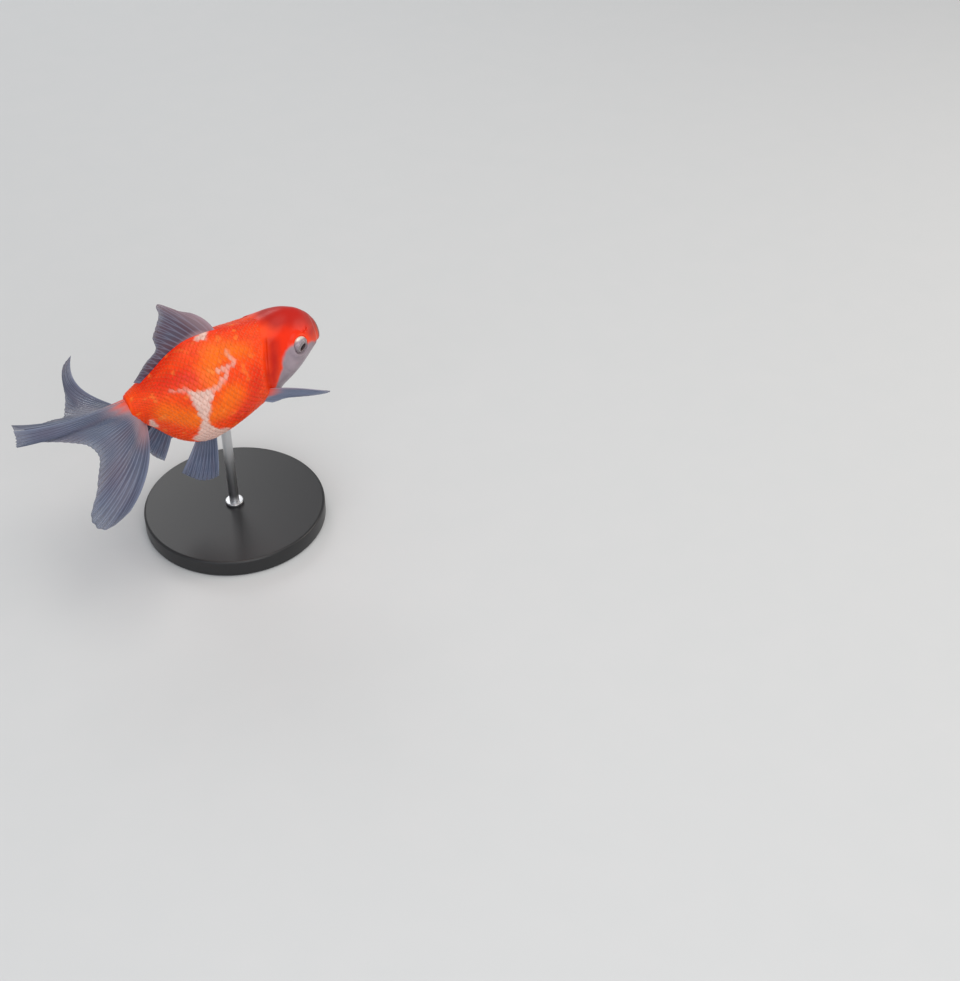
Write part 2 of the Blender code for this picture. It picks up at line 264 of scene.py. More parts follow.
thinStrokes = {  # pale lines that the orange shows through
    "zigzagUpper": ((0.502, 37, 0.005), (0.495, 44, 0.008), (0.485, 51, 0.010)),
    "zigzagMiddle": ((0.485, 52, 0.009), (0.535, 53, 0.008), (0.572, 53, 0.012)),
    "zigzagLower": ((0.535, 54, 0.008), (0.548, 60, 0.010), (0.582, 65, 0.010), (0.618, 68, 0.012)),
    "bars": ((0.728, 62, 0.007), (0.768, 58, 0.006), (0.810, 54, 0.004)),
    "zigzagLeft": ((0.440, -46, 0.009), (0.500, -52, 0.010), (0.540, -58, 0.012)),
}
paleHeadStrokes = {
    "cheek": (
        (0.086, 104, 0.038), (0.130, 94, 0.050), (0.180, 78, 0.050), (0.212, 82, 0.052),
        (0.232, 92, 0.050), (0.258, 104, 0.048), (0.298, 116, 0.046)),
    "jowl": ((0.100, 118, 0.040), (0.170, 116, 0.055), (0.250, 120, 0.060), (0.300, 130, 0.050)),
    "chin": ((0.060, 130, 0.040), (0.120, 150, 0.070), (0.240, 160, 0.085)),
    "chinFront": ((0.012, 180, 0.026), (0.060, 180, 0.056), (0.140, 180, 0.090), (0.250, 180, 0.110)),
}
crimsonStrokes = {
    "gillStrip": ((0.284, 48, 0.024), (0.306, 64, 0.034), (0.328, 84, 0.030), (0.350, 99, 0.014)),
    "snout": ((0.030, 50, 0.030), (0.060, 66, 0.024)),
    "crown": ((0.020, 20, 0.050), (0.100, 14, 0.080), (0.190, 8, 0.090)),
    "crownLeft": ((0.020, -20, 0.050), (0.100, -14, 0.080), (0.190, -10, 0.090)),
}
paintedLitOrangeStrokes = {  # bright orange, partly the fish's own colour and partly painted light where the flanks catch the lamps
    "flank": (
        (0.425, 42, 0.035), (0.480, 38, 0.045), (0.560, 36, 0.055), (0.605, 50, 0.050), (0.615, 62, 0.040)),
    "lowFlank": ((0.540, 80, 0.050), (0.620, 92, 0.050), (0.740, 97, 0.055), (0.860, 88, 0.050)),
    "flankLeft": ((0.420, -50, 0.060), (0.600, -60, 0.080), (0.760, -90, 0.070)),
}
deepStrokes = {  # and where it lies thickest
    "rearBand": ((0.720, 46, 0.035), (0.780, 42, 0.045), (0.850, 34, 0.035)),
    "backEdge": (
        (0.300, 0, 0.030), (0.460, -6, 0.030), (0.620, -10, 0.030), (0.740, -4, 0.040), (0.900, 6, 0.045)),
    "shoulder": ((0.400, 70, 0.026), (0.418, 82, 0.034), (0.440, 94, 0.034)),
    "breast": ((0.450, 104, 0.040), (0.520, 118, 0.050)),
    "headSide": ((0.080, 50, 0.040), (0.150, 46, 0.050), (0.230, 50, 0.060), (0.250, 64, 0.040)),
    "shoulderLeft": ((0.400, -70, 0.030), (0.430, -88, 0.040), (0.470, -106, 0.050)),
    "rearLeft": ((0.720, -40, 0.040), (0.850, -44, 0.050)),
}
# the head is marked alike on both sides
for strokes, names in (
        (paleHeadStrokes, ("cheek", "jowl", "chin")), (crimsonStrokes, ("gillStrip", "snout")),
        (deepStrokes, ("headSide",))):
    for name in names:
        strokes[f"{name}Left"] = [(station, -degrees, radius) for station, degrees, radius in strokes[name]]

noise.seed_set(4)       # so that the edges wander the same way each run
markSettings = {
    # how soft each kind's edge is, and how far and how finely all edges wander, in body lengths
    "edge": {"white": 0.009, "thin": 0.009, "pale": 0.010, "crimson": 0.034, "paintedLitOrange": 0.045, "deep": 0.034},
    "wander": ((22, 0.009), (64, 0.004)),
    "thinShare": 0.60, "spotShare": 0.45,
    "spotGrain": 30, "spotRange": (0.34, 0.62), "spotsFrom": (0.34, 0.42),
    "mouthHeight": 0.009, "crownRange": (-0.26, -0.16),
}
skinHexes = {
    "darkRed": "f43400", "paleRed": "ff4e00", "paintedLitOrange": "ff6c00", "deep": "ea2a00",
    "gill": "b81a0a", "crown": "bc1c10", "darkWhite": "dfab9e", "paleWhite": "f2d5c8",
    "darkCheek": "786a72", "paleCheek": "a99aa3", "lips": "85564f", "spot": "ff8c34",
}


# How far inside the strokes each point lies: 0 outside, rising to 1 over the edge's width.
def strokeMask(points, strokes, edge):
    nearest = np.full(len(points), 1e9)
    for stroke in strokes.values():
        rows = np.array(stroke)
        places = bodyPoint(rows[:, 0], np.radians(rows[:, 1]))
        for start, end, r0, r1 in zip(places, places[1:], rows[:, 2], rows[1:, 2]):
            run = end - start
            share = np.clip((points - start) @ run / (run @ run), 0, 1)
            gap = np.linalg.norm(points - start - share[:, None] * run, axis=1) - r0 - (r1 - r0) * share
            nearest = np.minimum(nearest, gap)
    return fade(edge, -edge, nearest)


# Two colour layers that the skin and the scales share.
# "marks" holds white, pale head, crimson and bright orange that is partly painted light; "tints" deep red,
# lips with painted shade inside the mouth, pale spots and crown.
def paintMarks(mesh, points):
    s, edge = markSettings, markSettings["edge"]
    moved = points
    for grain, far in s["wander"]:
        moved = moved + np.array([noise.noise_vector(Vector(p) * grain) for p in points]) * far
    mottle = np.array([noise.noise(Vector(p) * s["spotGrain"]) for p in points])
    x, y, z = points.T
    thin = s["thinShare"] * strokeMask(moved, thinStrokes, edge["thin"])
    white = np.maximum(strokeMask(moved, whiteStrokes, edge["white"]), thin)
    spots = s["spotShare"] * fade(*s["spotRange"], mottle) * fade(*s["spotsFrom"], -x)
    lips = 0.65 * fade(-0.020, -0.010, x) + 0.35 * fade(-0.100, -0.030, x)     # dull at the rim, fading back
    # painted shade: the inside of the mouth is drawn in the lips' dull dark colour, as shade in the opening
    mouthShade = fade(0.028, 0.018, np.hypot(y, z - s["mouthHeight"]))
    addPointLayer(mesh, "marks", np.stack((
        white, strokeMask(moved, paleHeadStrokes, edge["pale"]),
        strokeMask(moved, crimsonStrokes, edge["crimson"]),
        strokeMask(moved, paintedLitOrangeStrokes, edge["paintedLitOrange"])), -1))
    addPointLayer(mesh, "tints", np.stack((
        strokeMask(moved, deepStrokes, edge["deep"]), np.maximum(lips, mouthShade),
        spots, fade(*s["crownRange"], x)), -1))


# Adds the nodes that turn the marks into the fish's colour, and returns that colour and a fine speckle.
def markColour(tree):
    shares = {}
    kinds = {"marks": ("white", "cheek", "crimson", "paintedLitOrange"), "tints": ("deep", "lips", "spot", "crown")}
    for name in kinds:
        layer = addNode(tree, "ShaderNodeAttribute", settings={"attribute_name": name})
        split = addNode(tree, "ShaderNodeSeparateColor", {"Color": layer.outputs["Color"]})
        shares.update(zip(kinds[name], (*split.outputs, layer.outputs["Alpha"])))
    place = addNode(tree, "ShaderNodeTexCoord").outputs["Object"]
    # blotches of 5 mm, and pigment cells, which are drawn at 0.6 mm so that they show
    blotches, speckle = (
        addNode(tree, "ShaderNodeTexNoise", {"Vector": place, "Scale": scale, "Detail": detail}).outputs["Fac"]
        for scale, detail in ((200, 3), (1500, 2)))
    colours = {name: linear(code) for name, code in skinHexes.items()}
    for name, share, under, over in (
            ("red", blotches, "darkRed", "paleRed"),
            # partly painted light: the bright orange of the flanks
            ("red", shares["paintedLitOrange"], "red", "paintedLitOrange"),
            ("red", shares["deep"], "red", "deep"),
            ("red", shares["spot"], "red", "spot"),
            ("crimson", shares["crown"], "gill", "crown"),
            ("white", speckle, "darkWhite", "paleWhite"),
            ("cheek", blotches, "darkCheek", "paleCheek"),
            ("whole", shares["crimson"], "red", "crimson"),
            ("whole", shares["white"], "whole", "white"),
            ("whole", shares["cheek"], "whole", "cheek"),
            # the lips share also carries the painted shade inside the mouth
            ("whole", shares["lips"], "whole", "lips")):
        mixed = {0: share, "A": colours[under], "B": colours[over]}
        colours[name] = addNode(tree, "ShaderNodeMix", mixed, {"data_type": "RGBA"}).outputs["Result"]
    return colours["whole"], speckle


# Living fish skin under a film of slime: soft inside, wet outside.
def makeSkinMaterial():
    material, tree, shader = newMaterial("wet fish skin")
    colour, speckle = markColour(tree)
    bump = addNode(tree, "ShaderNodeBump", {"Height": speckle, "Strength": 0.12, "Distance": 0.0001})
    tree.links.new(colour, shader.inputs["Base Color"])
    tree.links.new(bump.outputs["Normal"], shader.inputs["Normal"])
    setShader(shader, {
        "Roughness": 0.40, "IOR": 1.38, "Specular IOR Level": 0.25,
        "Coat Weight": 0.14, "Coat Roughness": 0.24})
    return material


# Bony scales in a skin sheath: a pale rim painted on as a pearly highlight, a base painted darker as shade,
# fine growth rings, a wet gloss.
def makeScaleMaterial():
    material, tree, shader = newMaterial("fish scale with painted rim light and base shade")
    colour, speckle = markColour(tree)
    across = addNode(tree, "ShaderNodeUVMap", settings={"uv_map": "scaleMap"})
    along = addNode(tree, "ShaderNodeSeparateXYZ", {"Vector": across.outputs["UV"]}).outputs["Y"]
    # painted light: the free rim is painted paler as a highlight, and the covered base darker as the shade
    # under the scale in front
    for start, end, most, code in ((0.70, 0.98, 0.18, "ffa060"), (0.45, 0.15, 0.10, "c83204")):
        reading = {"Value": along, "From Min": start, "From Max": end, "To Max": most}
        share = addNode(tree, "ShaderNodeMapRange", reading).outputs["Result"]
        mixed = {0: share, "A": colour, "B": linear(code)}
        colour = addNode(tree, "ShaderNodeMix", mixed, {"data_type": "RGBA"}).outputs["Result"]
    tone = addNode(tree, "ShaderNodeAttribute", settings={"attribute_name": "tone"})
    varied = addNode(tree, "ShaderNodeHueSaturation", {"Color": colour, "Value": tone.outputs["Fac"]})
    # growth rings 0.2 mm apart
    rings = addNode(tree, "ShaderNodeMath", {0: along, 1: 55.0}, {"operation": "MULTIPLY"}).outputs["Value"]
    ripple = addNode(tree, "ShaderNodeMath", {0: rings}, {"operation": "SINE"}).outputs["Value"]
    bump = addNode(tree, "ShaderNodeBump", {"Height": ripple, "Strength": 0.10, "Distance": 0.00004})
    tree.links.new(varied.outputs["Color"], shader.inputs["Base Color"])
    tree.links.new(bump.outputs["Normal"], shader.inputs["Normal"])
    setShader(shader, {
        "Roughness": 0.38, "IOR": 1.42, "Specular IOR Level": 0.25,
        "Coat Weight": 0.14, "Coat Roughness": 0.20})
    return material


skinMaterial = makeSkinMaterial()
scaleMaterial = makeScaleMaterial()


# The skin: one closed form over all the flesh. Depths and swells are in body lengths
skinSettings = {
    "rings": 290, "pointsARing": 260, "crowding": 1.35,    # rings crowd towards the head
    "depth": 0.0016,            # below the bare body, so that the scales' tops reach it
    "gillCentre": (-0.050, -0.020), "gillRadius": 0.302,   # the gill edge's arc in the side view
    "gillLift": 0.0080, "gillGroove": 0.0060,
    "cheekBoneCentre": (-0.145, 0.040), "cheekBoneRadius": 0.118, "cheekBoneDepth": 0.0022,
    "jawBoneDepth": 0.0018,     # of the seam between cheek and lower gill cover
    "lipFold": 0.026, "lipFoldDepth": 0.0036, "lipSwell": 0.0026,
    "mouthCorner": 0.0030,
    "nostrils": ((0.086, 56), (0.104, 59)), "nostrilRadius": 0.0090,   # the front and rear opening of each
    "nostrilSwell": 0.0030, "nostrilDepth": 0.0130,
    "dorsalSheath": 0.0050,
    "bumps": 0.0016, "bumpGrain": 9,
    "socketReach": 0.058, "socketSmoothing": 3,
    # lip rings run inwards: share of the width, share of the height, set back, raise
    "lipRings": (
        (0.985, 0.985, 0.0016, 0.000), (0.94, 0.93, 0.0004, 0.000), (0.86, 0.84, 0.0000, 0.001),
        (0.77, 0.72, 0.0006, 0.002), (0.69, 0.58, 0.0030, 0.003), (0.63, 0.42, 0.0070, 0.004),
        (0.60, 0.28, 0.0120, 0.004), (0.58, 0.18, 0.0200, 0.004), (0.54, 0.16, 0.0320, 0.002),
        (0.40, 0.12, 0.0440, 0.000), (0.16, 0.05, 0.0500, 0.000),
    ),
    "tailRings": ((0.004, 0.86), (0.007, 0.55)),    # set back and share of the size, at the tail's end
}
# the skin closes round the eyes, so their settings come here, in metres where nothing else is said
eyeSettings = {
    "station": 0.152, "height": 0.058,    # body lengths
    "inset": 0.0018, "radius": 0.0030,
    "gaze": (0.45, 0.85, -0.26),          # ahead, outwards and up
    "paintedLitSide": (-0.20, -0.74, 0.64),       # the side of the ball where the film is painted brightest, as the lit side, the same way
    "paintedShadeRange": (0.0010, 0.0),           # along it, where the film is painted dull lilac as shade
    "irisAngle": radians(58), "pupilRadius": 0.00125,
    "irisDepth": 0.00125,                 # of the pupil's plane from the ball's centre
    "irisLip": 0.0007, "irisCrown": 0.00022, "lensRise": 0.0006,
    "corneaRadius": 0.00302, "corneaReach": 1.15, "corneaWall": 0.985,
    "rimWidth": 0.030, "rimLift": 0.0130, "rimDive": 0.040,    # of the flesh round it, body lengths
    "rimAxis": (0.10, 0.97, 0.20),
}


def eyeCentre(side):
    s = eyeSettings
    half = smoothRead(bodySections[:, 0], bodySections[:, 4], s["station"])
    return np.array((-s["station"], side * (half - s["inset"] / lengthUnit), s["height"]))


# How far a point lies behind the gill cover's edge, in the side view.
def pastGill(points):
    x, z = skinSettings["gillCentre"]
    return np.hypot(points[..., 0] - x, points[..., 2] - z) - skinSettings["gillRadius"]


# How far the skin stands out from the bare body, in body lengths.
def skinRelief(station, turn, points):
    s = skinSettings
    x, y, z = points[..., 0], points[..., 1], points[..., 2]
    degrees = np.degrees(np.abs(turn))
    relief = np.full(station.shape, -s["depth"])
    # gill cover: a plate that stands out towards its rear edge, then drops to a groove
    past = pastGill(points)
    span = fade(30, 48, degrees) * fade(160, 128, degrees)
    plate = fade(-0.075, -0.006, past) * fade(0.0020, -0.0020, past)
    groove = fade(-0.002, 0.003, past) * fade(0.034, 0.004, past)
    relief += span * (s["gillLift"] * plate - s["gillGroove"] * groove)
    # the cheek bones' edges are faint grooves
    boneX, boneZ = s["cheekBoneCentre"]
    bone = np.abs(np.hypot(x - boneX, z - boneZ) - s["cheekBoneRadius"])
    behind = fade(0.02, -0.03, x - boneX) * fade(60, 78, degrees)
    relief -= s["cheekBoneDepth"] * fade(0.006, 0.0, bone) * behind * fade(0.0, -0.012, past)
    seam = fade(0.005, 0.0, np.abs(z + 0.072 + 0.30 * (x + 0.26)))
    relief -= s["jawBoneDepth"] * seam * fade(-0.245, -0.265, x) * span * fade(0.0, -0.008, past)
    # lips: a fold behind them, and the corner of the jaw
    relief -= s["lipFoldDepth"] * fade(0.013, 0.0, np.abs(station - s["lipFold"])) * fade(0, 30, degrees)
    relief += s["lipSwell"] * fade(0.012, 0.0, np.abs(station - 0.008))
    corner = np.abs(z + 0.012 + 0.35 * (station - 0.03))
    nearMouth = fade(0.012, 0.030, station) * fade(0.085, 0.055, station)
    relief -= s["mouthCorner"] * fade(0.006, 0.0, corner) * nearMouth
    # nostrils: two small pits each side, with a fold between them
    size = s["nostrilRadius"]
    for side in (1, -1):
        pits = [bodyPoint(at, -side * radians(degree)) for at, degree in s["nostrils"]]
        reach = np.minimum(*(np.linalg.norm(points - pit, axis=-1) for pit in pits))
        relief += s["nostrilSwell"] * fade(size * 1.9, size * 0.9, reach)
        relief -= s["nostrilDepth"] * fade(size, size * 0.3, reach)
    # eye sockets: a fleshy rim rises round each ball and dives in under it
    eye = eyeSettings
    ball = eye["radius"] / lengthUnit
    for side in (1, -1):
        away = points - eyeCentre(side)
        axis = np.array(eye["rimAxis"]) * (1, side, 1)
        axis /= np.linalg.norm(axis)
        depth = away @ axis
        reach = np.sqrt(np.maximum((away ** 2).sum(-1) - depth ** 2, 0))
        mound = fade(ball + eye["rimWidth"], ball * 0.98, reach)
        dive = fade(ball * 0.93, ball * 0.68, reach)
        relief += np.where(depth > 0, eye["rimLift"] * mound - eye["rimDive"] * dive, 0)
    # a low sheath along the roots of the dorsal fin
    relief += s["dorsalSheath"] * fade(11, 0, degrees) * fade(0.47, 0.52, station) * fade(0.96, 0.88, station)
    # a soft unevenness, so that no stretch is machined
    bumps = np.array([noise.noise(Vector(p) * s["bumpGrain"]) for p in points.reshape(-1, 3)])
    return relief + s["bumps"] * bumps.reshape(station.shape) * fade(0.04, 0.12, station)


# Every ring of the skin's points, from the mouth's bottom out over the lips and back to the tail's end.
def skinRings():
    s = skinSettings
    around = np.linspace(-pi, pi, s["pointsARing"] + 1)
    stations = np.linspace(0, 1, s["rings"]) ** s["crowding"]
    station, turn = np.meshgrid(stations, around, indexing="ij")
    bare = bodyPoint(station, turn)
    normals = bodyNormal(np.clip(station, 0.012, 0.99), turn)
    skin = bare + normals * skinRelief(station, turn, bare)[..., None]
    skin[..., 0] = np.minimum(skin[..., 0], -0.0014)
    front, rear = skin[0], skin[-1]
    rings = []
    for wide, high, setBack, raised in reversed(s["lipRings"]):
        ring = front.mean(0) + (front - front.mean(0)) * (1, wide, high)
        ring[:, 0] = -setBack - 0.0012
        ring[:, 2] += raised
        rings.append(ring)
    closing = [
        rear.mean(0) + (rear + (-setBack, 0, 0) - rear.mean(0)) * (1, share, share)
        for setBack, share in s["tailRings"]]
    return np.array(rings + list(skin) + closing)


def makeSkin():
    s = skinSettings
    rings = skinRings()
    across, down = rings.shape[1] - 1, rings.shape[0] - 1
    bm = bmesh.new()
    bmesh.ops.create_grid(bm, x_segments=across, y_segments=down, size=1.0)
    spots = {v: (round((v.co.y + 1) / 2 * down), round((v.co.x + 1) / 2 * across)) for v in bm.verts}
    uvLayer = bm.loops.layers.uv.new("OFBake")
    for face in bm.faces:
        for loop in face.loops:
            ring, column = spots[loop.vert]
            loop[uvLayer].uv = (0.02 + 0.96 * ring / down, 0.02 + 0.96 * column / across)
    for vert, spot in spots.items():
        vert.co = rings[spot]
    # close the mouth's bottom and the tail's end, then join the seam along the belly
    for last in (0, down):
        end = [v for v, (ring, _) in spots.items() if ring == last]
        inEnd = set(end)
        rim = [e for e in bm.edges if e.verts[0] in inEnd and e.verts[1] in inEnd]
        cap = bmesh.ops.extrude_edge_only(bm, edges=rim)
        tips = [g for g in cap["geom"] if isinstance(g, bmesh.types.BMVert)]
        bmesh.ops.pointmerge(bm, verts=tips, merge_co=sum((v.co for v in end), Vector()) / len(end))
    bmesh.ops.remove_doubles(bm, verts=bm.verts, dist=1e-6)
    bmesh.ops.recalc_face_normals(bm, faces=bm.faces)
    for side in (1, -1):        # soften the rims of the eye sockets
        centre = Vector(eyeCentre(side))
        rim = [v for v in bm.verts if (v.co - centre).length < s["socketReach"]]
        for _ in range(s["socketSmoothing"]):
            bmesh.ops.smooth_vert(bm, verts=rim, factor=0.5, use_axis_x=True, use_axis_y=True, use_axis_z=True)
    points = np.array([v.co[:] for v in bm.verts])
    bmesh.ops.transform(bm, verts=bm.verts, matrix=toWorld)
    skinPiece = finishMesh("skin", bm, skinMaterial)
    paintMarks(skinPiece.data, points)
    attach(skinPiece, "root")
    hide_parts("head", "lower_jaw", "trunk", "tail_stalk", "left_gill_cover", "right_gill_cover")
    print("skin:", len(points), "points")


makeSkin()


# Scales: overlapping tiles in staggered rings behind the gill edge
scaleSettings = {
    "firstStation": 0.270, "lastStation": 0.985,
    "ringPitch": 0.0130,        # share of the length between rings, 0.85 mm
    "aRing": 44,                # scales in one ring
    "reach": 2.9, "width": 1.24,   # tile size over the ring pitch and over its share of the ring
    "lift": 0.0012, "sink": 0.0036, "edge": 0.0028,   # the free rim, the covered base, the rim's fold
    "rise": 0.6, "hollow": 0.0020,      # how early a scale rises, and how it drops to its sides
    "columns": 6, "rows": 4,
    "behindGill": 0.012, "tuck": 0.010, "tuckRange": (0.026, 0.004),
    "tailShrink": 0.25,
    "wanderAlong": 0.06, "wanderLift": 0.0006, "toneMiddle": 0.96, "toneWander": 0.07,
    "bakePatch": (0.0085, 0.012),
    "seed": 7,
}


# One flat tile, to be stamped many times: front edge at y -1, rear edge at 1, and a rim to fold down past it.
def makeTile():
    bm = bmesh.new()
    bmesh.ops.create_grid(bm, x_segments=scaleSettings["columns"], y_segments=scaleSettings["rows"], size=1.0)
    rear = [e for e in bm.edges if all(v.co.y > 0.99 for v in e.verts)]
    folded = bmesh.ops.extrude_edge_only(bm, edges=rear)
    for v in folded["geom"]:
        if isinstance(v, bmesh.types.BMVert):
            v.co.y = 1.15
    bmesh.ops.recalc_face_normals(bm, faces=bm.faces)
    if bm.faces[0].normal.z < 0:
        bmesh.ops.reverse_faces(bm, faces=bm.faces)
    tile = bpy.data.meshes.new("tile")
    bm.to_mesh(tile)
    bm.free()
    return tile


def makeScales():
    s = scaleSettings
    tile = makeTile()
    corners = np.array([v.co[:2] for v in tile.vertices])
    u, v = corners[:, 0], np.clip((corners[:, 1] + 1) / 2, 0, 1)
    rim = corners[:, 1] > 1.05
    rounding = 0.42 + 0.58 * np.sqrt(np.clip(1 - (0.97 * u) ** 2, 0, 1))
    dice = np.random.default_rng(s["seed"])
    points, marked, tones, uvRoots = [], [], [], []
    for i in range(int((s["lastStation"] - s["firstStation"]) / s["ringPitch"])):
        station = s["firstStation"] + i * s["ringPitch"]
        reach = s["reach"] * (1 - s["tailShrink"] * fade(0.85, 1.0, station))
        for k in range(s["aRing"]):
            turn = -pi + tau * (k + 0.5 * (i % 2)) / s["aRing"]
            centre = bodyPoint(station, turn)
            if pastGill(centre) < s["behindGill"]:
                continue
            along, lifted, shade = dice.uniform(-1, 1, 3)
            step = s["wanderAlong"] * along + (v * rounding - 0.5) * reach
            swing = turn + tau / s["aRing"] * s["width"] * 0.5 * u * (1 - 0.15 * v)
            base = bodyPoint(np.clip(station + s["ringPitch"] * step, 0.01, 0.999), swing)
            height = -s["sink"] + (s["lift"] + s["sink"]) * v ** s["rise"] - s["hollow"] * u ** 2
            height = np.where(rim, -s["edge"], height + s["wanderLift"] * lifted)
            height -= s["tuck"] * fade(*s["tuckRange"], pastGill(base))
            points.extend(base + bodyNormal(station, turn) * height[:, None])
            marked.extend(centre + 0.55 * (base - centre))
            tones.extend([s["toneMiddle"] + s["toneWander"] * shade] * len(u))
            uvRoots.extend([(0.02 + 0.96 * station, 0.02 + 0.96 * (turn + pi) / tau)] * len(u))
    points, marked, uvRoots = np.array(points), np.array(marked), np.array(uvRoots)
    tiles = len(points) // len(u)
    bm = bmesh.new()
    for _ in range(tiles):
        bm.from_mesh(tile)
    mesh = bpy.data.meshes.new("scales")
    bm.to_mesh(mesh)
    bm.free()
    mesh.vertices.foreach_set("co", inWorld(points).ravel())
    mesh.shade_smooth()
    addPointLayer(mesh, "tone", tones)
    # each scale bakes into a small patch of its own at its root's place on the skin's unwrap
    loops = np.zeros(len(mesh.loops), np.int32)
    mesh.loops.foreach_get("vertex_index", loops)
    onTile = np.stack(((u + 1) / 2, np.clip((corners[:, 1] + 1) / 2, 0, 1.07) / 1.07), -1)
    onTile = np.tile(onTile, (tiles, 1))
    patches = uvRoots + (onTile[:, ::-1] - 0.5) * s["bakePatch"]
    for name, spots in (("OFBake", patches), ("scaleMap", onTile)):
        mesh.uv_layers.new(name=name).data.foreach_set("uv", spots[loops].ravel())
    mesh.materials.append(scaleMaterial)
    scalesPiece = link(bpy.data.objects.new("scales", mesh))
    paintMarks(mesh, marked)
    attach(scalesPiece, "root")
    print("scales:", tiles, "tiles,", 2 * len(mesh.polygons), "triangles")


makeScales()


# Fins: fans of rays in a thin web. A guide row is a ray's place across the fan, its outward and
# upward angle from straight back, its length, and how far both angles curl on the way out, in
# degrees and body lengths. A root is a station and degrees from the back, at the fan's two ends.
finDefaults = {
    "late": (1, 1),          # the first and the last ray's power: above 1 they curl late on their way out
    "folds": (1.5, 4),       # how many waves run across the fan, and how many degrees deep
    "spread": 0.0,           # how far the root stands off the fish's midline, in body lengths
    "rays": 12,
    # shares: a purple cast, the fleshy root's length, an orange blush over the root and how far across
    # the fan it spreads, pink at the front, and a paler whole
    "purple": 0.10, "flesh": 0.16, "blush": 0.0, "blushSpan": 1.0, "frontPink": 0.0, "pale": 0.0,
}
pectoralLook = {
    "root": ((0.368, 107.8), (0.410, 126.1)), "flesh": 0.40, "blush": 0.45, "frontPink": 0.25, "pale": 0.40,
}
tailLook = {
    "root": ((0.990, 1.1), (0.960, 174.3)), "rays": 34, "folds": (2.5, 5), "spread": 0.00012 / lengthUnit,
    "flesh": 0.34, "blushSpan": 0.30, "pale": 0.05,
}
finShapes = {
    "dorsal_fin": {
        "root": ((0.500, 0), (0.900, 0)), "rays": 16, "folds": (2.0, 3),
        "purple": 0.80, "flesh": 0.30, "frontPink": 0.55,
        "guides": (
            (0.00, 12, 82, 0.160, 4, -50), (0.06, 14, 71, 0.195, 6, -36), (0.12, 15, 61, 0.262, 8, -20),
            (0.25, 14, 57, 0.205, 8, -16), (0.40, 10, 51, 0.156, 4, -12), (0.50, 8, 48, 0.125, 4, -10),
            (0.60, 6, 48, 0.072, 4, -8), (0.80, 4, 42, 0.062, 2, -6), (1.00, 4, 30, 0.045, 2, -4)),
    },
    "right_pectoral_fin": {
        **pectoralLook,
        "guides": (
            (0.00, 132, 15, 0.300, 10, -24), (0.30, 136, 11, 0.300, 10, -18), (0.50, 138, 9, 0.240, 8, -12),
            (0.70, 140, 5, 0.162, 6, -8), (0.85, 140, 2, 0.098, 4, -4), (1.00, 140, -9, 0.045, 2, -2)),
    },
    "left_pectoral_fin": {
        **pectoralLook,
        "guides": (
            (0.00, 44, -22, 0.27, -8, 6), (0.50, 40, -34, 0.26, -6, 6), (0.80, 36, -44, 0.20, -4, 4),
            (1.00, 34, -50, 0.08, -2, 4)),
    },
    "pelvic_fin": {
        "root": ((0.640, 154.2), (0.735, 158.8)), "rays": 9, "purple": 0.0,
        "guides": (
            (0.00, 66, -48, 0.19, -8, 10), (0.50, 54, -46, 0.20, -6, 10), (1.00, 30, -40, 0.17, -2, 8)),
    },
    "anal_fin": {
        "root": ((0.845, 164.5), (0.915, 159.9)), "rays": 7, "folds": (1.0, 3),
        "guides": ((0.00, 14, -66, 0.14, 0, 14), (0.50, 12, -52, 0.13, 0, 10), (1.00, 10, -38, 0.08, 0, 6)),
    },
    "right_tail": {
        **tailLook, "purple": 0.20, "blush": 0.30,
        "guides": (
            (0.00, 4, -1, 0.565, 2, 24), (0.20, 6, -7, 0.57, 0, 24), (0.32, 5, -7, 0.47, 0, 20),
            (0.42, 6, -6, 0.36, 0, 13), (0.52, 14, -4, 0.29, -4, 4), (0.65, 34, -7, 0.30, -8, 2),
            (0.78, 51, -9, 0.44, -23, 4), (0.88, 60, -13, 0.61, -38, 6), (0.95, 71, -16, 0.63, -44, 8),
            (1.00, 81, -15, 0.54, -43, 8)),
    },
    "left_tail": {
        **tailLook, "late": (1, 4), "purple": 0.30, "blush": 0.34,
        "guides": (
            (0.00, -4, -1, 0.56, -2, 24), (0.20, 0, -4, 0.54, 4, 28), (0.40, 4, -5, 0.44, 4, 24),
            (0.50, 8, -4, 0.37, 4, 16), (0.60, 15, -4, 0.34, 8, 12), (0.70, 24, -4, 0.33, 20, 12),
            (0.80, 35, -3, 0.38, 50, 28), (0.90, 46, 0, 0.53, 84, 46), (1.00, 58, 2, 0.56, 84, 50)),
    },
}
finSettings = {
    "rootDepth": 0.0016 / lengthUnit,         # how far a root reaches into the body
    "steps": 12,                              # bends in one ray
    "columnsARay": 9, "rows": 64,
    "thickness": 0.00042, "webShare": 0.40,   # metres at a ray's root, and the web's share of it
    "tipThinning": 0.55, "fleshSwell": 0.25, "thinnest": 0.05,
    "scallop": 0.009, "ragged": 0.35,         # how far the web draws in between ray tips, how unevenly
    "webAlpha": 0.86, "rayAlpha": 0.96, "marginClear": 0.30, "clouding": 0.06,
    "ribShare": 0.45, "blushShare": 0.85,
    "darkWeb": "2d3750", "paleWeb": "4e5b78", "purple": "553c4b", "rib": "8f9ab2", "flesh": "bb9a9e",
    "blush": "ee4408",
}


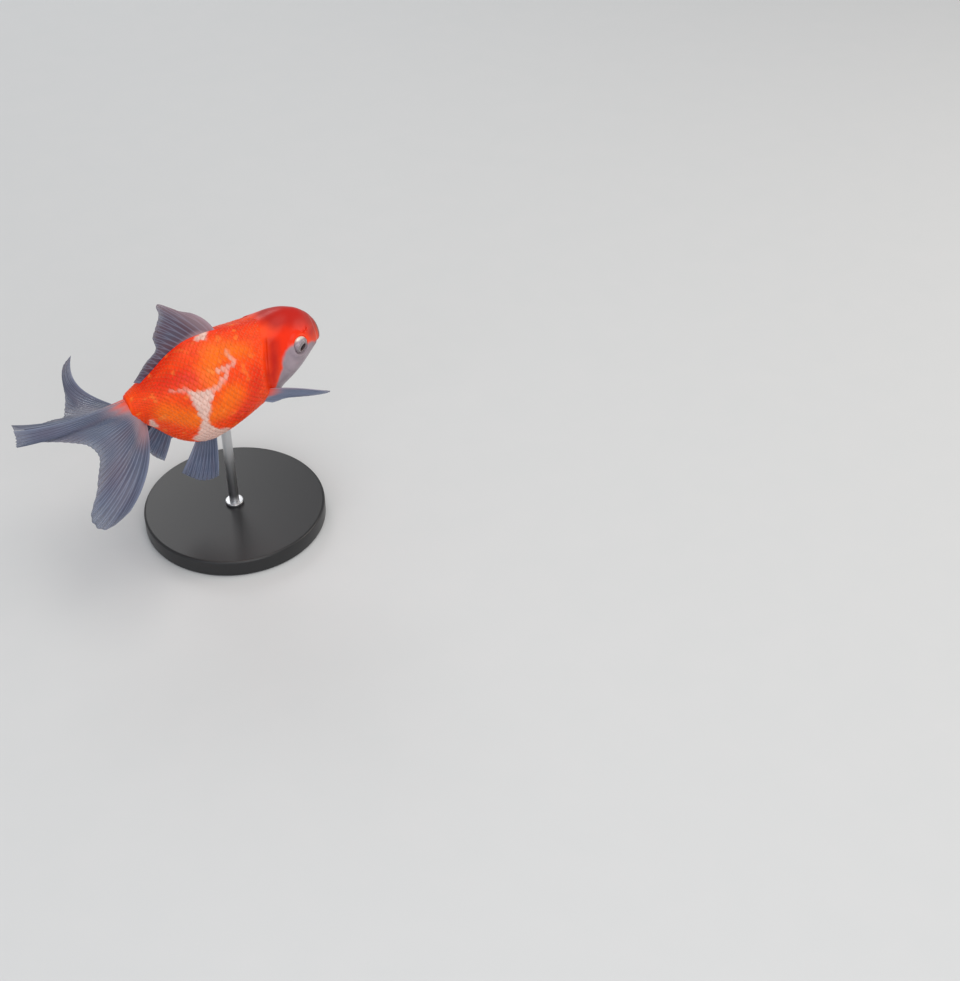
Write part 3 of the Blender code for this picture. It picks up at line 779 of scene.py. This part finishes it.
# Places of a fan's points, for arrays of places across it and shares along its rays.
def finPoints(fin, side, place, along):
    s = finSettings
    rows = np.array(fin["guides"], float)
    out, up, length, outCurl, upCurl = (smoothRead(rows[:, 0], rows[:, k], place) for k in range(1, 6))
    (fore, foreTurn), (aft, aftTurn) = fin["root"]
    rootTurn = -np.radians(foreTurn + (aftTurn - foreTurn) * place)
    root = bodyPoint(fore + (aft - fore) * place, rootTurn, -s["rootDepth"])
    root[..., 1] = side * (root[..., 1] + fin["spread"])
    folds, depth = fin["folds"]
    share = along[..., None] * (np.arange(s["steps"]) + 0.5) / s["steps"]
    sway = depth * np.sin(tau * folds * place)[..., None] * share
    first, last = fin["late"]
    bent = share ** (first + (last - first) * place[..., None])
    yaw = np.radians(out[..., None] + outCurl[..., None] * bent + sway)
    pitch = np.radians(up[..., None] + upCurl[..., None] * bent)
    way = np.stack((-np.cos(pitch) * np.cos(yaw), side * np.cos(pitch) * np.sin(yaw), np.sin(pitch)), -1)
    return root + way.mean(-2) * ((length + s["rootDepth"]) * along)[..., None]


# How much of a ray lies at each point: each ray forks halfway out, and again near the margin.
def rayShare(fin, place, along):
    across = place * fin["rays"]
    offset = np.abs(across - np.round(across))
    firstFork = 0.20 * fade(0.40, 0.75, along)
    secondFork = 0.09 * fade(0.76, 0.98, along)
    width = 0.20 - 0.10 * fade(0.3, 0.9, along)
    ray = fade(width, 0.0, np.abs(np.abs(offset - firstFork) - secondFork))
    joints = 0.5 + 0.5 * np.cos(tau * along * 46)      # the segments of a soft ray
    edgeRay = np.maximum(fade(0.9, 0.2, across), fade(fin["rays"] - 0.9, fin["rays"] - 0.2, across))
    return np.maximum(ray * (0.88 + 0.12 * joints * fade(0.1, 0.3, along)), edgeRay)


# Fin web and bony rays, wet: a grey-blue film that lets some light past, with paler ribs.
def makeFinMaterial():
    s = finSettings
    material, tree, shader = newMaterial("translucent fin web")
    look = addNode(tree, "ShaderNodeAttribute", settings={"attribute_name": "look"})
    split = addNode(tree, "ShaderNodeSeparateColor", {"Color": look.outputs["Color"]})
    blush = addNode(tree, "ShaderNodeAttribute", settings={"attribute_name": "rootTint"})
    place = addNode(tree, "ShaderNodeTexCoord").outputs["Object"]
    cloud = addNode(tree, "ShaderNodeTexNoise", {"Vector": place, "Scale": 110, "Detail": 3})   # of about 9 mm
    colour = linear(s["darkWeb"])
    for share, name in (
            (cloud.outputs["Fac"], "paleWeb"), (split.outputs["Blue"], "purple"),
            (split.outputs["Red"], "rib"), (split.outputs["Green"], "flesh"), (blush.outputs["Fac"], "blush")):
        mixed = {0: share, "A": colour, "B": linear(s[name])}
        colour = addNode(tree, "ShaderNodeMix", mixed, {"data_type": "RGBA"}).outputs["Result"]
    tree.links.new(colour, shader.inputs["Base Color"])
    tree.links.new(look.outputs["Alpha"], shader.inputs["Alpha"])
    setShader(shader, {"Roughness": 0.34, "IOR": 1.40, "Coat Weight": 0.25, "Coat Roughness": 0.12})
    return material


finMaterial = makeFinMaterial()


def makeFin(name, shape, side, *nodes):
    s = finSettings
    fin = {**finDefaults, **finShapes[shape]}
    bm = bmesh.new()
    bmesh.ops.create_grid(bm, x_segments=fin["rays"] * s["columnsARay"], y_segments=s["rows"], size=1.0)
    mesh = bpy.data.meshes.new(name)
    bm.to_mesh(mesh)
    bm.free()
    flat = np.array([v.co[:2] for v in mesh.vertices])
    place, along = (flat[:, 0] + 1) / 2, (flat[:, 1] + 1) / 2
    rays = rayShare(fin, place, along)
    across = place * fin["rays"]
    between = np.sin(pi * across) ** 2 * fade(0.02, 0.06, place) * fade(0.98, 0.94, place)
    uneven = np.array([noise.noise(Vector((n * 1.7, 3.1 * side, len(name)))) for n in np.round(across)])
    drawn = along * (1 - s["scallop"] * (between + s["ragged"] * np.abs(uneven)) * along)
    mesh.vertices.foreach_set("co", inWorld(finPoints(fin, side, place, drawn)).ravel())

    # the colours' shares, read by the material
    root = fade(fin["flesh"], 0.04, along)
    cloudy = np.array([noise.noise(Vector((p * 7, a * 2.5, len(name)))) for p, a in zip(place, along)])
    alpha = s["webAlpha"] + (s["rayAlpha"] - s["webAlpha"]) * np.maximum(rays, root) + s["clouding"] * cloudy
    alpha = np.clip(alpha, 0, 1) * (1 - s["marginClear"] * fade(0.80, 1.0, along))  # thinnest at the margin
    purple = np.clip(fin["purple"] + 0.5 * cloudy, 0, 1)
    pink = np.maximum(root * 0.8, fin["frontPink"] * fade(0.24, 0.0, place))
    ribs = fin["pale"] + (s["ribShare"] - 0.3 * fin["pale"]) * rays
    blush = 0 * along
    if fin["blush"]:
        blush = s["blushShare"] * fade(0.8, 0.1, along / fin["blush"] + 0.4 * cloudy)
        blush = blush * fade(fin["blushSpan"] + 0.3, fin["blushSpan"] - 0.1, place)
    addPointLayer(mesh, "rootTint", blush)
    addPointLayer(mesh, "look", np.stack((ribs, pink, purple, alpha), -1))
    mesh.shade_smooth()
    mesh.materials.append(finMaterial)

    # thick at the root and along the rays, thin in the web and at the margin
    piece = link(bpy.data.objects.new(name, mesh))
    group = piece.vertex_groups.new(name="thickness")
    weights = (s["webShare"] + (1 - s["webShare"]) * rays) * (1 - s["tipThinning"] * along)
    for i, weight in enumerate(np.clip(weights + s["fleshSwell"] * root, s["thinnest"], 1)):
        group.add([i], float(weight), "REPLACE")
    thicken = piece.modifiers.new("thickness", "SOLIDIFY")
    thicken.thickness, thicken.offset, thicken.vertex_group = s["thickness"], 0, "thickness"
    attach(piece, "root")
    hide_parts(*nodes)


makeFin("dorsalFin", "dorsal_fin", 1, "dorsal_fin")
for word, side in (("left", 1), ("right", -1)):
    makeFin(f"{word}PectoralFin", f"{word}_pectoral_fin", side, f"{word}_pectoral_fin")
    makeFin(f"{word}PelvicFin", "pelvic_fin", side, f"{word}_pelvic_fin")
    makeFin(f"{word}AnalFin", "anal_fin", side, f"{word}_anal_fin")
    makeFin(f"{word}TailFin", f"{word}_tail", side, f"{word}_upper_tail_lobe", f"{word}_lower_tail_lobe")
print("fins made")


# Eyes: a silver ball with a dark lens in its pupil, under a clear cornea
def makeEyeMaterials():
    # guanine film over the iris: a soft, slightly golden mirror with fine flecks, painted dull lilac as shade
    # where it turns down
    silver, tree, shader = newMaterial("silvery guanine film")
    layer = addNode(tree, "ShaderNodeAttribute", settings={"attribute_name": "iris"})
    split = addNode(tree, "ShaderNodeSeparateColor", {"Color": layer.outputs["Color"]})
    place = addNode(tree, "ShaderNodeTexCoord").outputs["Object"]
    fleck = addNode(tree, "ShaderNodeTexNoise", {"Vector": place, "Scale": 2200, "Detail": 2})  # 0.5 mm
    colour = linear("cfc6b0")
    # the green share is painted shade: a dull lilac on the side of the ball turned down
    for share, code in (
            (fleck.outputs["Fac"], "f6f3e8"), (split.outputs["Green"], "a0919a"),
            (split.outputs["Red"], "6a5256")):
        mixed = {0: share, "A": colour, "B": linear(code)}
        colour = addNode(tree, "ShaderNodeMix", mixed, {"data_type": "RGBA"}).outputs["Result"]
    tree.links.new(colour, shader.inputs["Base Color"])
    setShader(shader, {"Metallic": 0.20, "Roughness": 0.28})
    # the lens looks into the dark of the eye
    lens, _, shader = newMaterial("dark eye lens")
    setShader(shader, {"Base Color": linear("1c0f1a"), "Roughness": 0.06})
    # clear wet cornea, a faint gloss over the eye
    cornea, _, shader = newMaterial("clear cornea")
    setShader(shader, {"Base Color": linear("161012"), "Roughness": 0.03, "IOR": 1.376, "Alpha": 0.10})
    return silver, lens, cornea


silverMaterial, lensMaterial, corneaMaterial = makeEyeMaterials()


# A turned form: the profile's (radius, depth) points in metres, spun about the line of sight.
def turnedEyePart(name, profile, side, material):
    bm = bmesh.new()
    verts = [bm.verts.new((r, 0, d)) for r, d in profile]
    edges = [bm.edges.new(pair) for pair in zip(verts, verts[1:])]
    bmesh.ops.spin(
        bm, geom=verts + edges, axis=(0, 0, 1), cent=(0, 0, 0), angle=tau, steps=64, use_merge=True)
    bmesh.ops.remove_doubles(bm, verts=bm.verts, dist=1e-7)
    bmesh.ops.recalc_face_normals(bm, faces=bm.faces)
    spots = np.array([v.co[:] for v in bm.verts])
    ahead, outwards, up = eyeSettings["gaze"]
    turned = Vector((ahead, side * outwards, up)).normalized().to_track_quat("Z", "Y").to_matrix().to_4x4()
    toEye = toWorld @ Matrix.Translation(eyeCentre(side)) @ Matrix.Scale(1 / lengthUnit, 4) @ turned
    bmesh.ops.transform(bm, verts=bm.verts, matrix=toEye)
    piece = finishMesh(name, bm, material)
    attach(piece, "root")
    return piece, spots


# An arc of a ball's profile, from one end of the line of sight (0 in front, pi behind) round to an angle.
def roundProfile(radius, start, end, points):
    angles = np.linspace(start, end, points)[1:]
    return [(0, radius * cos(start))] + [(radius * sin(a), radius * cos(a)) for a in angles]


def makeEye(word, side):
    s = eyeSettings
    radius, pupil, depth, angle = s["radius"], s["pupilRadius"], s["irisDepth"], s["irisAngle"]
    # the ball from behind to the iris's edge, the iris in to the pupil, and the cup under the lens
    ring, edge = radius * sin(angle), radius * cos(angle)
    back = roundProfile(radius, pi, angle, 26)
    iris = [
        (ring + (pupil - ring) * t, edge + (depth + s["irisLip"] - edge) * t + s["irisCrown"] * sin(pi * t))
        for t in np.linspace(0.06, 1, 10)]
    cup = [(pupil * 0.97, depth + 0.0004), (pupil * 0.96, depth - 0.0002), (0, depth - 0.0006)]
    ball, spots = turnedEyePart(f"{word}Eyeball", back + iris + cup, side, silverMaterial)
    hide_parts(f"{word}_eye")
    # the film's colours: a dark ring at the pupil, and painted shade in a lilac like the cheek's on the side
    # turned down
    away, front = np.hypot(spots[:, 0], spots[:, 1]), spots[:, 2] > 0
    paintedLitSide, middle = Vector(s["paintedLitSide"]) * Vector((1, side, 1)), toWorld @ Vector(eyeCentre(side))
    height = np.array([(v.co - middle).dot(paintedLitSide) for v in ball.data.vertices])
    rim = fade(pupil * 1.20, pupil * 1.0, away) * front
    disc = fade(ring * 1.02, ring * 0.96, away) * front
    paintedShade = fade(*s["paintedShadeRange"], height) * (1 - 0.15 * disc)
    addPointLayer(ball.data, "iris", np.stack((rim, paintedShade, rim * 0, rim * 0 + 1), -1))
    lens = [(0, depth + s["lensRise"])] + [
        (pupil * 0.97 * sin(a), depth + s["lensRise"] * cos(a)) for a in np.linspace(0, pi / 2, 12)[1:]]
    turnedEyePart(f"{word}Lens", lens + [(0, depth - 0.0003)], side, lensMaterial)
    dome = roundProfile(s["corneaRadius"], 0, angle * s["corneaReach"], 20)
    inner = [(r * s["corneaWall"], d * s["corneaWall"]) for r, d in reversed(dome)]
    turnedEyePart(f"{word}Cornea", dome + inner, side, corneaMaterial)


for word, side in (("left", 1), ("right", -1)):
    makeEye(word, side)
print("eyes made")


# Stand: a steel rod on a round black base
standSettings = {
    "baseRadius": 0.030, "baseHeight": 0.006, "baseBevel": 0.0008, "baseSides": 160,
    "rodRadius": 0.0016, "rodTop": 0.043, "rodBevel": 0.0001,       # the rod ends inside the belly
    "collarRadius": 0.0030, "collarHeight": 0.0012, "collarBevel": 0.0003,
    "sides": 64, "bevelSteps": 4,
}


def makeStandMaterials():
    # brushed stainless steel, drawn along the rod: lines 0.2 mm apart
    steel, tree, shader = newMaterial("brushed stainless steel")
    place = addNode(tree, "ShaderNodeTexCoord").outputs["Object"]
    drawn = addNode(tree, "ShaderNodeMapping", {"Vector": place, "Scale": (1, 1, 0.04)}).outputs["Vector"]
    brushing = addNode(tree, "ShaderNodeTexNoise", {"Vector": drawn, "Scale": 5000, "Detail": 2})
    lines = {"Height": brushing.outputs["Fac"], "Strength": 0.25, "Distance": 0.00005}
    bump = addNode(tree, "ShaderNodeBump", lines)
    tree.links.new(bump.outputs["Normal"], shader.inputs["Normal"])
    setShader(shader, {"Base Color": linear("c4c5c7"), "Metallic": 1.0, "Roughness": 0.32})
    # sprayed satin black lacquer, with a slight orange peel of about 1 mm
    paint, tree, shader = newMaterial("satin black lacquer")
    place = addNode(tree, "ShaderNodeTexCoord").outputs["Object"]
    peel = addNode(tree, "ShaderNodeTexNoise", {"Vector": place, "Scale": 900, "Detail": 1}).outputs["Fac"]
    bump = addNode(tree, "ShaderNodeBump", {"Height": peel, "Strength": 0.06, "Distance": 0.0002})
    tree.links.new(bump.outputs["Normal"], shader.inputs["Normal"])
    setShader(shader, {"Base Color": linear("1b1b1d"), "Roughness": 0.38})
    return steel, paint


# An upright round bar with softened rims and flat ends.
def makeRound(name, radius, low, high, bevel, sides, material):
    bm = bmesh.new()
    bmesh.ops.create_cone(bm, cap_ends=True, segments=sides, radius1=radius, radius2=radius, depth=high - low)
    bmesh.ops.translate(bm, verts=bm.verts, vec=(0, 0, (low + high) / 2))
    rims = [e for e in bm.edges if abs(e.verts[0].co.z - e.verts[1].co.z) < 1e-6]
    bmesh.ops.bevel(
        bm, geom=rims, offset=bevel, offset_type="OFFSET", affect="EDGES",
        segments=standSettings["bevelSteps"], profile=0.5, material=-1)
    for face in bm.faces:
        face.smooth = abs(face.normal.z) < 0.999
    piece = finishMesh(name, bm, material, smooth=False)
    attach(piece, "root")
    return piece


def makeStand():
    s = standSettings
    steel, paint = makeStandMaterials()
    top, sides = s["baseHeight"], s["sides"]
    base = makeRound("standBase", s["baseRadius"], 0, top, s["baseBevel"], s["baseSides"], paint)
    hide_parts("stand_base")
    rod = makeRound("standRod", s["rodRadius"], top, s["rodTop"], s["rodBevel"], sides, steel)
    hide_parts("stand_rod")
    collarTop = top + s["collarHeight"]
    makeRound("rodCollar", s["collarRadius"], top, collarTop, s["collarBevel"], sides, steel)


makeStand()
print("stand finished")
